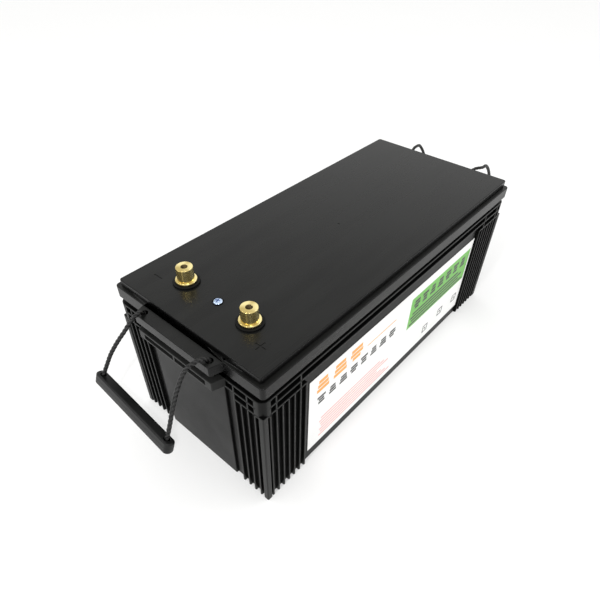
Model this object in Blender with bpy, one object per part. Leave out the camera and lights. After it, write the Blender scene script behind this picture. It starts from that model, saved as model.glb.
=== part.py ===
"""Rope-handled monobloc battery pack: a ribbed plastic case closed by a glued lid, two brass stud
terminals, a rope handle on each end, and a row of prismatic cells with its electronics inside.

Metres, +Z up. The origin is the centre of the flat underside. +X runs along the length, away from
the end that carries the terminals; the label is on the -Y side.
"""

import math

import bmesh
import bpy
from mathutils import Matrix, Vector

MM = 0.001

# Lid: a flange all round, a raised plate on it and a shelf for the rope handle on each end.
FLANGE_HALF_X = 261 * MM
FLANGE_HALF_Y = 118 * MM
FLANGE_CORNER = 5 * MM
FLANGE_Z = (189.3 * MM, 205 * MM)
PLATE_X = (-257 * MM, 259 * MM)
PLATE_HALF_Y = 112.2 * MM
PLATE_TOP = 214 * MM
LID_INSIDE = (252.5 * MM, 108 * MM, 209.5 * MM)
SHELF_X = 275.7 * MM
SHELF_HALF_Y = (64.4 * MM, 59.8 * MM)
SHELF_BOTTOM = 192.6 * MM

# Case: panels, the ribs that stand proud of them, and the neck that the lid sits on.
PANEL_HALF_X = 258 * MM
PANEL_HALF_Y = 113.3 * MM
RIB_HALF_X = 262 * MM
RIB_HALF_Y = 117.3 * MM
END_PANEL = (261 * MM, 61.6 * MM)
RIB_THICK = 2.6 * MM
RIB_TOP = 160 * MM
RIB_FOOT = 1 * MM
LONG_RIBS = [-251.6 * MM + i * 9.25 * MM for i in range(7)]
END_RIBS = [75.8 * MM + i * 9.7 * MM for i in range(4)]
LONG_CROSS_RIBS = (1, 5)
END_CROSS_RIBS = (0, 2)
BAND_THICK = 2.4 * MM
RIM_TOP = 182.6 * MM
BAND_TOPS = (RIM_TOP, 171.6 * MM)
CORNER_BAND_TOP = 160.6 * MM
BAND_CORNER = 10 * MM
CORNER_BLOCK = (250.6 * MM, 104.6 * MM, 156 * MM)
POST_RADIUS = 4 * MM
NECK_HALF = (256 * MM, 111.4 * MM)
NECK_TOP = 188 * MM
BLOCK_BOTTOM = 170.6 * MM
CAVITY_HALF = (253.5 * MM, 109 * MM)
FLOOR = 5 * MM

# Terminals, the screw between them and the polarity marks.
TERMINAL_X = -209.2 * MM
TERMINAL_Y = 50.5 * MM
TERMINAL_TOP = 235 * MM
STUD_BORE = 3.4 * MM
SHANK_RADIUS = 7 * MM
SCREW_AT = (-209.3 * MM, -1.5 * MM)
MARK_LENGTH = 13.4 * MM
MARK_WIDTH = 1.8 * MM
MARK_DEPTH = 0.5 * MM

# Rope handles.
ROPE_RADIUS = 2.4 * MM
ROPE_HOLE = (267.5 * MM, 52.5 * MM, 3.9 * MM)
ANCHOR_KNOT = (188.2 * MM, 4.2 * MM, 0.85)
SWING_AXIS = (283 * MM, 210.3 * MM)
# The anchored part up to the swing axis: distance out, height, share of the sideways drift.
ANCHOR_ROUTE = (
    (267.5 * MM, 184.2 * MM, 0.0),
    (267.5 * MM, 192 * MM, 0.0),
    (267.5 * MM, 203 * MM, 0.0),
    (269.2 * MM, 207.4 * MM, 0.15),
    (273 * MM, 209.9 * MM, 0.45),
    (277.4 * MM, 210.4 * MM, 0.75),
)
# The hanging leg from the swing axis to the grip, as shares of its reach out, down and sideways.
LEG_ROUTE = (
    (0.0, 0.0, 0.0),
    (0.145, 0.022, -0.06),
    (0.29, 0.103, 0.0),
    (0.497, 0.273, 0.3),
    (0.704, 0.51, 0.65),
    (0.86, 0.762, 0.88),
    (1.0, 1.0, 1.0),
)
GRIP_LENGTH = 134 * MM
GRIP_SIZE = (11.6 * MM, 13 * MM)
GRIP_SPAN = 58.2 * MM
GRIP_BORE = 3.4 * MM
GRIP_POCKET = (4.7 * MM, 6 * MM)
GRIP_LEAN = math.radians(21)

# Cells in one row along X, and what holds them.
CELL_COUNT = 8
CELL = (54 * MM, 174 * MM, 170 * MM)
CELL_PITCH = 54.6 * MM
CELL_FLOOR = 8.6 * MM
STUD_Y = 55 * MM
STUD_RISE = 3 * MM
GAP = 0.3 * MM


def clear_scene():
    for obj in list(bpy.data.objects):
        bpy.data.objects.remove(obj, do_unlink=True)


def make_material(name, colour, roughness, metallic=0.0):
    mat = bpy.data.materials.new(name)
    mat.use_nodes = True
    shader = mat.node_tree.nodes["Principled BSDF"]
    shader.inputs["Base Color"].default_value = (*colour, 1.0)
    shader.inputs["Roughness"].default_value = roughness
    shader.inputs["Metallic"].default_value = metallic
    return mat


def rounded_rect(x0, x1, y0, y1, radius, steps=5):
    """Corner points of a rectangle with round corners, counter-clockwise."""
    points = []
    for cx, cy, start in ((x1, y1, 0), (x0, y1, 90), (x0, y0, 180), (x1, y0, 270)):
        ox = cx - math.copysign(radius, cx - (x0 + x1) / 2)
        oy = cy - math.copysign(radius, cy - (y0 + y1) / 2)
        for i in range(steps + 1):
            angle = math.radians(start + 90 * i / steps)
            points.append((ox + radius * math.cos(angle), oy + radius * math.sin(angle)))
    return points


def rectangle(x0, x1, y0, y1):
    return [(x0, y0), (x1, y0), (x1, y1), (x0, y1)]


def circle(x, y, radius, sides=24):
    turn = 2 * math.pi / sides
    return [(x + radius * math.cos(turn * i), y + radius * math.sin(turn * i)) for i in range(sides)]


def add_prism(bm, outline, z0, z1):
    """A closed solid of one outline between two heights."""
    low = [bm.verts.new((x, y, z0)) for x, y in outline]
    high = [bm.verts.new((x, y, z1)) for x, y in outline]
    bm.faces.new(list(reversed(low)))
    bm.faces.new(high)
    for i, _ in enumerate(outline):
        j = (i + 1) % len(outline)
        bm.faces.new((low[i], low[j], high[j], high[i]))


def add_box(bm, x0, x1, y0, y1, z0, z1):
    add_prism(bm, rectangle(x0, x1, y0, y1), z0, z1)


def add_ring(bm, outer, inner, z0, z1):
    """A closed loop of rectangular section between two outlines with the same number of points."""
    rings = []
    for outline, z in ((outer, z0), (outer, z1), (inner, z1), (inner, z0)):
        rings.append([bm.verts.new((x, y, z)) for x, y in outline])
    count = len(outer)
    for k in range(4):
        a = rings[k]
        b = rings[(k + 1) % 4]
        for i in range(count):
            j = (i + 1) % count
            bm.faces.new((a[i], a[j], b[j], b[i]))


def add_turned(bm, profile, x=0.0, y=0.0, sides=24):
    """A solid turned about a vertical axis from (radius, z) pairs that run from bottom to top."""
    rings = []
    for radius, z in profile:
        if radius == 0:
            rings.append([bm.verts.new((x, y, z))])
            continue
        rings.append([bm.verts.new((px, py, z)) for px, py in circle(x, y, radius, sides)])
    for low, high in zip(rings, rings[1:]):
        for i in range(sides):
            j = (i + 1) % sides
            if len(low) == 1:
                bm.faces.new((low[0], high[j], high[i]))
            elif len(high) == 1:
                bm.faces.new((low[i], low[j], high[0]))
            else:
                bm.faces.new((low[i], low[j], high[j], high[i]))
    if len(rings[0]) > 1:
        bm.faces.new(list(reversed(rings[0])))
    if len(rings[-1]) > 1:
        bm.faces.new(rings[-1])


def finish_mesh(name, bm, material=None, matrix=None):
    mesh = bpy.data.meshes.new(name)
    bmesh.ops.recalc_face_normals(bm, faces=bm.faces)
    bm.to_mesh(mesh)
    bm.free()
    obj = bpy.data.objects.new(name, mesh)
    bpy.context.scene.collection.objects.link(obj)
    if material:
        mesh.materials.append(material)
    if matrix:
        obj.matrix_world = matrix
    return obj


def combine(obj, bm, operation):
    """Adds a solid to an object, or cuts it out, and keeps the result as the object's own mesh."""
    tool = finish_mesh("tool", bm)
    modifier = obj.modifiers.new("combine", "BOOLEAN")
    modifier.operation = operation
    modifier.solver = "EXACT"
    modifier.object = tool
    bpy.context.view_layer.update()
    graph = bpy.context.evaluated_depsgraph_get()
    result = bpy.data.meshes.new_from_object(obj.evaluated_get(graph))
    obj.modifiers.clear()
    old = obj.data
    obj.data = result
    bpy.data.meshes.remove(old)
    bpy.data.objects.remove(tool, do_unlink=True)


def smooth(obj, degrees=35):
    obj.data.shade_smooth()
    obj.data.set_sharp_from_angle(angle=math.radians(degrees))


def smooth_route(points, step):
    """Points about one step apart on a Catmull-Rom curve through a route's own points."""
    pts = [Vector(p) for p in points]
    pts = [2 * pts[0] - pts[1], *pts, 2 * pts[-1] - pts[-2]]
    route = []
    for i in range(1, len(pts) - 2):
        a, b, c, d = pts[i - 1:i + 3]
        count = max(1, round((c - b).length / step))
        for k in range(count):
            t = k / count
            linear = (c - a) * t
            square = (2 * a - 5 * b + 4 * c - d) * t * t
            cube = (3 * b - a - 3 * c + d) * t * t * t
            route.append(b + 0.5 * (linear + square + cube))
    route.append(pts[-2])
    return route


def make_tube(name, points, radius, material, step=None, knot=None, ball_ends=False):
    """A rope or cable: a curve with a round bevel and closed ends along a smooth route.

    A knot is (height, half its length, how much wider it is than the rope). With ball_ends each
    end goes on as a half ball centred on the route's own end, so that it can turn in place there.
    """
    stations = [(place, 1.0) for place in smooth_route(points, step or 2 * radius)]
    if knot:
        height, half, extra = knot
        for i, (place, _) in enumerate(stations):
            inside = max(0.0, 1 - ((place.z - height) / half) ** 2)
            stations[i] = (place, 1 + extra * math.sqrt(inside))
    if ball_ends:
        first, second = stations[0][0], stations[1][0]
        last, before = stations[-1][0], stations[-2][0]
        for degrees in (65, 40, 15):
            angle = math.radians(degrees)
            reach, narrow = radius * math.cos(angle), math.sin(angle)
            stations.insert(0, (first + (first - second).normalized() * reach, narrow))
            stations.append((last + (last - before).normalized() * reach, narrow))
    curve = bpy.data.curves.new(name, "CURVE")
    curve.dimensions = "3D"
    curve.bevel_depth = radius
    curve.bevel_resolution = 2
    curve.render_resolution_u = 0
    curve.use_fill_caps = True
    spline = curve.splines.new("POLY")
    spline.points.add(len(stations) - 1)
    for point, (place, width) in zip(spline.points, stations):
        point.co = (*place, 1.0)
        point.radius = width
    obj = bpy.data.objects.new(name, curve)
    bpy.context.scene.collection.objects.link(obj)
    curve.materials.append(material)
    return obj


def shelf_outline(side, depth=0.0, inner=240 * MM):
    """Plan of the rope-handle shelf on one end; depth sets its outer face back."""
    root, tip = SHELF_HALF_Y
    x = SHELF_X - depth
    half = [(x, tip), (FLANGE_HALF_X, root), (inner, root)]
    points = [(px, -py) for px, py in reversed(half)] + half
    if side < 0:
        points = [(-px, py) for px, py in reversed(points)]
    return points


def ends_box(side, x0, x1):
    """The two X limits of something on one end, lowest first."""
    return (x0, x1) if side > 0 else (-x1, -x0)


def rib_prism(bm, along_x, place, side, z1):
    """One upright rib: thin, proud of its panel, with its outer bottom corner cut away."""
    inner = (PANEL_HALF_Y if along_x else PANEL_HALF_X) - 1.5 * MM
    outer = RIB_HALF_Y if along_x else RIB_HALF_X
    profile = [(inner, 0.0), (outer - RIB_FOOT, 0.0), (outer, RIB_FOOT), (outer, z1), (inner, z1)]
    faces = []
    for shift in (-RIB_THICK / 2, RIB_THICK / 2):
        ring = []
        for reach, z in profile:
            flat = (place + shift, side * reach) if along_x else (side * reach, place + shift)
            ring.append(bm.verts.new((*flat, z)))
        faces.append(ring)
    bm.faces.new(faces[0])
    bm.faces.new(list(reversed(faces[1])))
    for i, _ in enumerate(profile):
        j = (i + 1) % len(profile)
        bm.faces.new((faces[0][j], faces[0][i], faces[1][i], faces[1][j]))


def make_case(material):
    bm = bmesh.new()
    x, y = PANEL_HALF_X, PANEL_HALF_Y
    add_prism(bm, rounded_rect(-x, x, -y, y, 6 * MM), 0.0, 180 * MM)
    case = finish_mesh("case", bm, material)

    bm = bmesh.new()
    neck_x, neck_y = NECK_HALF
    add_prism(bm, rounded_rect(-neck_x, neck_x, -neck_y, neck_y, 5 * MM), 170 * MM, NECK_TOP)
    combine(case, bm, "UNION")

    bm = bmesh.new()
    for sx in (-1, 1):
        for sy in (-1, 1):
            x = sx * (RIB_HALF_X - POST_RADIUS)
            y = sy * (RIB_HALF_Y - POST_RADIUS)
            add_prism(bm, circle(x, y, POST_RADIUS, 16), 0.0, 165 * MM)
    combine(case, bm, "UNION")

    bm = bmesh.new()
    for side in (-1, 1):
        for end in (-1, 1):
            for i, x in enumerate(LONG_RIBS):
                top = RIM_TOP - MM if i in LONG_CROSS_RIBS else RIB_TOP
                rib_prism(bm, True, end * x, side, top)
            for i, y in enumerate(END_RIBS):
                top = RIM_TOP - MM if i in END_CROSS_RIBS else RIB_TOP
                rib_prism(bm, False, end * y, side, top)
    combine(case, bm, "UNION")

    # The middle of each end stands proud of its panel, up to the block under the shelf.
    for side in (-1, 1):
        bm = bmesh.new()
        x0, x1 = ends_box(side, PANEL_HALF_X - 2 * MM, END_PANEL[0])
        add_box(bm, x0, x1, -END_PANEL[1], END_PANEL[1], 0.0, BLOCK_BOTTOM + MM)
        combine(case, bm, "UNION")

    outline = rounded_rect(-RIB_HALF_X, RIB_HALF_X, -RIB_HALF_Y, RIB_HALF_Y, BAND_CORNER, 6)
    for top in BAND_TOPS:
        bm = bmesh.new()
        add_prism(bm, outline, top - BAND_THICK, top)
        combine(case, bm, "UNION")

    bm = bmesh.new()
    add_prism(bm, outline, CORNER_BAND_TOP - BAND_THICK, CORNER_BAND_TOP)
    corners = finish_mesh("corners", bm)
    bm = bmesh.new()
    add_box(bm, LONG_RIBS[-1], -LONG_RIBS[-1], -0.2, 0.2, 0.1, 0.2)
    combine(corners, bm, "DIFFERENCE")
    bm = bmesh.new()
    add_box(bm, -0.4, 0.4, -END_RIBS[0], END_RIBS[0], 0.1, 0.2)
    combine(corners, bm, "DIFFERENCE")
    bm = bmesh.new()
    bm.from_mesh(corners.data)
    bpy.data.objects.remove(corners, do_unlink=True)
    combine(case, bm, "UNION")

    block_x, block_y, block_z = CORNER_BLOCK
    bm = bmesh.new()
    add_prism(bm, outline, block_z, RIM_TOP - 0.4 * MM)
    blocks = finish_mesh("blocks", bm)
    bm = bmesh.new()
    add_box(bm, -block_x, block_x, -0.2, 0.2, 0.1, 0.2)
    combine(blocks, bm, "DIFFERENCE")
    bm = bmesh.new()
    add_box(bm, -0.4, 0.4, -block_y, block_y, 0.1, 0.2)
    combine(blocks, bm, "DIFFERENCE")
    bm = bmesh.new()
    bm.from_mesh(blocks.data)
    bpy.data.objects.remove(blocks, do_unlink=True)
    combine(case, bm, "UNION")

    # A block under each shelf carries the bands outwards, with a recess between them.
    for side in (-1, 1):
        bm = bmesh.new()
        add_prism(bm, shelf_outline(side, inner=250 * MM), BLOCK_BOTTOM, RIM_TOP)
        combine(case, bm, "UNION")
        bm = bmesh.new()
        x0, x1 = ends_box(side, SHELF_X - 4 * MM, SHELF_X + 10 * MM)
        for y0, y1 in ((-50 * MM, -1.2 * MM), (1.2 * MM, 50 * MM)):
            add_box(bm, x0, x1, y0, y1, BLOCK_BOTTOM + 2.6 * MM, RIM_TOP - 2.6 * MM)
        combine(case, bm, "DIFFERENCE")
        bm = bmesh.new()
        x0, x1 = ends_box(side, 250 * MM, 270 * MM)
        add_box(bm, x0, x1, -43 * MM, 43 * MM, RIM_TOP - 5 * MM, NECK_TOP - 0.5 * MM)
        combine(case, bm, "UNION")

    bm = bmesh.new()
    inside_x, inside_y = CAVITY_HALF
    add_prism(bm, rounded_rect(-inside_x, inside_x, -inside_y, inside_y, 3 * MM), FLOOR, 250 * MM)
    combine(case, bm, "DIFFERENCE")
    return case


def make_lid(material):
    bm = bmesh.new()
    x, y, r = FLANGE_HALF_X, FLANGE_HALF_Y, FLANGE_CORNER
    add_prism(bm, rounded_rect(-x, x, -y, y, r), *FLANGE_Z)
    lid = finish_mesh("lid", bm, material)

    bm = bmesh.new()
    add_prism(bm, rounded_rect(*PLATE_X, -PLATE_HALF_Y, PLATE_HALF_Y, 3 * MM, 3), 200 * MM, PLATE_TOP)
    combine(lid, bm, "UNION")
    for side in (-1, 1):
        bm = bmesh.new()
        add_prism(bm, shelf_outline(side), SHELF_BOTTOM, FLANGE_Z[1])
        combine(lid, bm, "UNION")

    bm = bmesh.new()
    inside_x, inside_y, ceiling = LID_INSIDE
    add_prism(bm, rounded_rect(-inside_x, inside_x, -inside_y, inside_y, 3 * MM), 185 * MM, ceiling)
    combine(lid, bm, "DIFFERENCE")

    # A boss for the centre screw reaches down from the plate.
    bm = bmesh.new()
    add_prism(bm, circle(*SCREW_AT, 6 * MM, 20), 206.2 * MM, ceiling + MM)
    combine(lid, bm, "UNION")

    bm = bmesh.new()
    for sign in (-1, 1):
        add_prism(bm, circle(TERMINAL_X, sign * TERMINAL_Y, SHANK_RADIUS + GAP), 200 * MM, 220 * MM)
    add_prism(bm, circle(*SCREW_AT, 2.4 * MM, 16), 200 * MM, 213 * MM)
    hole_x, hole_y, hole_r = ROPE_HOLE
    for sx in (-1, 1):
        for sy in (-1, 1):
            add_prism(bm, circle(sx * hole_x, sy * hole_y, hole_r), 190 * MM, 210 * MM)
    combine(lid, bm, "DIFFERENCE")

    bm = bmesh.new()
    add_prism(bm, circle(*SCREW_AT, 6.5 * MM), PLATE_TOP - 1.2 * MM, 220 * MM)
    half, wide, deep = MARK_LENGTH / 2, MARK_WIDTH / 2, PLATE_TOP - MARK_DEPTH
    minus_x, minus_y = -225 * MM, 81.8 * MM
    add_box(bm, minus_x - wide, minus_x + wide, minus_y - half, minus_y + half, deep, 220 * MM)
    plus_x, plus_y = -226.9 * MM, -82.5 * MM
    cross = [(half, wide), (wide, wide), (wide, half), (-wide, half), (-wide, wide), (-half, wide)]
    cross += [(-x, -y) for x, y in cross]
    add_prism(bm, [(plus_x + x, plus_y + y) for x, y in cross], deep, 220 * MM)
    combine(lid, bm, "DIFFERENCE")
    return lid


def make_terminal(name, sign, material):
    """A brass stud: a shank through the lid, a round collar and a slightly tapered post with a bore."""
    bm = bmesh.new()
    collar = 216.8 * MM
    profile = [
        (SHANK_RADIUS - MM, 193 * MM),
        (SHANK_RADIUS, 194 * MM),
        (SHANK_RADIUS, collar),
        (12.4 * MM, collar),
        (12.4 * MM, collar + 1.8 * MM),
        (11.8 * MM, collar + 2.4 * MM),
        (9.9 * MM, collar + 2.4 * MM),
        (9.6 * MM, TERMINAL_TOP - 0.8 * MM),
        (8.8 * MM, TERMINAL_TOP),
        (STUD_BORE + 0.6 * MM, TERMINAL_TOP),
        (STUD_BORE, TERMINAL_TOP - 0.6 * MM),
        (STUD_BORE, TERMINAL_TOP - 16 * MM),
        (0, TERMINAL_TOP - 18 * MM),
    ]
    add_turned(bm, profile, TERMINAL_X, sign * TERMINAL_Y, 32)
    obj = finish_mesh(name, bm, material)
    smooth(obj)
    return obj


def make_ring(name, x, y, outer, inner, z0, z1, material, sides=32):
    bm = bmesh.new()
    add_ring(bm, circle(x, y, outer, sides), circle(x, y, inner, sides), z0, z1)
    obj = finish_mesh(name, bm, material)
    smooth(obj)
    return obj


def make_nut(name, sign, material):
    """A hexagon nut under the lid; its bore has a clearance on the shank."""
    bm = bmesh.new()
    y = sign * TERMINAL_Y
    hexagon = []
    for i in range(24):
        angle = math.radians(15 * i)
        reach = 11 * MM / math.cos((angle % math.radians(60)) - math.radians(30))
        hexagon.append((TERMINAL_X + reach * math.cos(angle), y + reach * math.sin(angle)))
    add_ring(bm, hexagon, circle(TERMINAL_X, y, SHANK_RADIUS + GAP), 203 * MM, 209.2 * MM)
    return finish_mesh(name, bm, material)


def make_screw(material):
    """A domed cross-head screw whose shank ends in the bracket below the lid."""
    bm = bmesh.new()
    seat = PLATE_TOP - 1.2 * MM + GAP
    profile = [
        (1.5 * MM, 199 * MM),
        (2 * MM, 199.8 * MM),
        (2 * MM, seat),
        (5.2 * MM, seat),
        (5.2 * MM, seat + 1.6 * MM),
        (4.2 * MM, seat + 2.6 * MM),
        (2.4 * MM, seat + 3.1 * MM),
        (0, seat + 3.2 * MM),
    ]
    add_turned(bm, profile, *SCREW_AT, 24)
    screw = finish_mesh("centre_screw", bm, material)
    x, y = SCREW_AT
    bm = bmesh.new()
    arm, wide = 3 * MM, 0.55 * MM
    cross = [(arm, wide), (wide, wide), (wide, arm), (-wide, arm), (-wide, wide), (-arm, wide)]
    cross += [(-px, -py) for px, py in cross]
    add_prism(bm, [(x + px, y + py) for px, py in cross], seat + 1.7 * MM, seat + 5 * MM)
    combine(screw, bm, "DIFFERENCE")
    return screw


def grip_matrix(left, right, lean):
    """Places a grip: its hole mouths at two points, its top face leaning towards the case."""
    middle = (left + right) / 2
    along = (left - right).normalized()
    side = along.cross(Vector((0, 0, 1))).normalized()
    up = side.cross(along)
    basis = Matrix((side, along, up)).transposed()
    return Matrix.Translation(middle) @ basis.to_4x4() @ Matrix.Rotation(lean, 4, "Y")


def make_grip(name, matrix, material):
    """A moulded bar with round ends, a rope hole near each end and a pocket below for each knot."""
    bm = bmesh.new()
    wide, high = GRIP_SIZE
    half = GRIP_LENGTH / 2
    layers = ((-high, 1.6), (-high + 1.6 * MM, 0.0), (-1.6 * MM, 0.0), (0.0, 1.6))
    rings = []
    for z, inset in layers:
        trim = inset * MM
        x, y, r = wide / 2 - trim, half - trim, 5.4 * MM - trim
        outline = rounded_rect(-x, x, -y, y, r, 4)
        rings.append([bm.verts.new((px, py, z)) for px, py in outline])
    count = len(rings[0])
    bm.faces.new(list(reversed(rings[0])))
    bm.faces.new(rings[-1])
    for low, top in zip(rings, rings[1:]):
        for i in range(count):
            j = (i + 1) % count
            bm.faces.new((low[i], low[j], top[j], top[i]))
    grip = finish_mesh(name, bm, material)
    bm = bmesh.new()
    pocket_r, pocket_z = GRIP_POCKET
    for sign in (-1, 1):
        profile = [
            (pocket_r, -high - MM),
            (pocket_r, -high + pocket_z),
            (GRIP_BORE, -high + pocket_z),
            (GRIP_BORE, MM),
        ]
        add_turned(bm, profile, 0.0, sign * GRIP_SPAN, 16)
    combine(grip, bm, "DIFFERENCE")
    grip.matrix_world = matrix
    smooth(grip, 30)
    return grip


def make_grip_knot(name, matrix, sign, material):
    """The knot in a grip's pocket, with the rope's stub above it inside the hole."""
    bm = bmesh.new()
    high = GRIP_SIZE[1]
    base = -high + 0.4 * MM
    profile = [
        (2.4 * MM, base),
        (4.3 * MM, base + 1.2 * MM),
        (4.3 * MM, base + 3.6 * MM),
        (ROPE_RADIUS, base + 5 * MM),
        (ROPE_RADIUS, -3.5 * MM),
    ]
    add_turned(bm, profile, 0.0, sign * GRIP_SPAN, 12)
    obj = finish_mesh(name, bm, material, matrix)
    smooth(obj, 50)
    return obj


def add_pivot(name, place, parent=None):
    """An empty on a joint's axis, which carries the pieces that turn about it."""
    pivot = bpy.data.objects.new(name, None)
    pivot.empty_display_size = 0.02
    pivot.location = place
    bpy.context.scene.collection.objects.link(pivot)
    if parent:
        carry(pivot, parent)
    return pivot


def carry(obj, pivot):
    """Parents a piece that is already in place to a pivot, and leaves it there."""
    bpy.context.view_layer.update()
    obj.parent = pivot
    obj.matrix_parent_inverse = pivot.matrix_world.inverted()


def make_handle(end, side, ropes, rope, plastic):
    """A rope handle: two anchored ropes, the two legs that swing, and the grip with its knots.

    Each rope gives its Y at the swing axis, the place where it enters the grip and its sag.
    """
    swing = add_pivot(end + "_swing_axis", (side * SWING_AXIS[0], 0.0, SWING_AXIS[1]))
    mouths = {}
    for label, sign in (("left", 1), ("right", -1)):
        hinge_y, mouth, sag = ropes[label]
        mouths[label] = Vector(mouth)
        hole = sign * ROPE_HOLE[1]
        anchor = [(side * x, hole + (hinge_y - hole) * drift, z) for x, z, drift in ANCHOR_ROUTE]
        make_tube(end + "_rope_anchor_" + label, anchor, ROPE_RADIUS, rope, 2 * MM, knot=ANCHOR_KNOT)
        leg = []
        last = len(LEG_ROUTE) - 1
        for i, (out, down, drift) in enumerate(LEG_ROUTE):
            t = i / last
            x = side * SWING_AXIS[0] + out * (mouth[0] - side * SWING_AXIS[0])
            z = SWING_AXIS[1] + down * (mouth[2] - SWING_AXIS[1]) - sag * 4 * t * (1 - t)
            leg.append((x, hinge_y + drift * (mouth[1] - hinge_y), z))
        tube = make_tube(end + "_rope_leg_" + label, leg, ROPE_RADIUS, rope, 5 * MM, ball_ends=True)
        carry(tube, swing)
    tilt = add_pivot(end + "_tilt_axis", (mouths["left"] + mouths["right"]) / 2, swing)
    matrix = grip_matrix(mouths["left"], mouths["right"], -side * GRIP_LEAN)
    carry(make_grip(end + "_grip", matrix, plastic), tilt)
    for label, sign in (("left", 1), ("right", -1)):
        carry(make_grip_knot(end + "_grip_knot_" + label, matrix, sign, rope), tilt)


def cell_x(index):
    return (index - (CELL_COUNT - 1) / 2) * CELL_PITCH


def make_cells(can, copper):
    """Prismatic cells, each with two studs on its top, and the bars that join them in series."""
    deep, wide, high = CELL
    bm = bmesh.new()
    add_prism(bm, rounded_rect(-deep / 2, deep / 2, -wide / 2, wide / 2, 3 * MM, 3), 0.0, high)
    pattern = finish_mesh("cell_pattern", bm, can)
    bm = bmesh.new()
    for sign in (-1, 1):
        pad = rounded_rect(-9 * MM, 9 * MM, sign * STUD_Y - 9 * MM, sign * STUD_Y + 9 * MM, 3 * MM, 3)
        add_prism(bm, pad, high - MM, high + STUD_RISE)
    combine(pattern, bm, "UNION")
    for i in range(CELL_COUNT):
        cell = bpy.data.objects.new("cell_%d" % (i + 1), pattern.data)
        cell.location = (cell_x(i), 0.0, CELL_FLOOR)
        bpy.context.scene.collection.objects.link(cell)
    bpy.data.objects.remove(pattern, do_unlink=True)

    low = CELL_FLOOR + high + STUD_RISE + GAP
    for i in range(CELL_COUNT - 1):
        bm = bmesh.new()
        middle = (cell_x(i) + cell_x(i + 1)) / 2
        y = -STUD_Y if i % 2 == 0 else STUD_Y
        half = CELL_PITCH / 2 + 8 * MM
        bar = rounded_rect(middle - half, middle + half, y - 10 * MM, y + 10 * MM, 3 * MM, 3)
        add_prism(bm, bar, low, low + 2 * MM)
        finish_mesh("busbar_%d" % (i + 1), bm, copper)


def make_box(name, x0, x1, y0, y1, z0, z1, material, radius=2 * MM):
    bm = bmesh.new()
    add_prism(bm, rounded_rect(x0, x1, y0, y1, radius, 3), z0, z1)
    return finish_mesh(name, bm, material)


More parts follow.
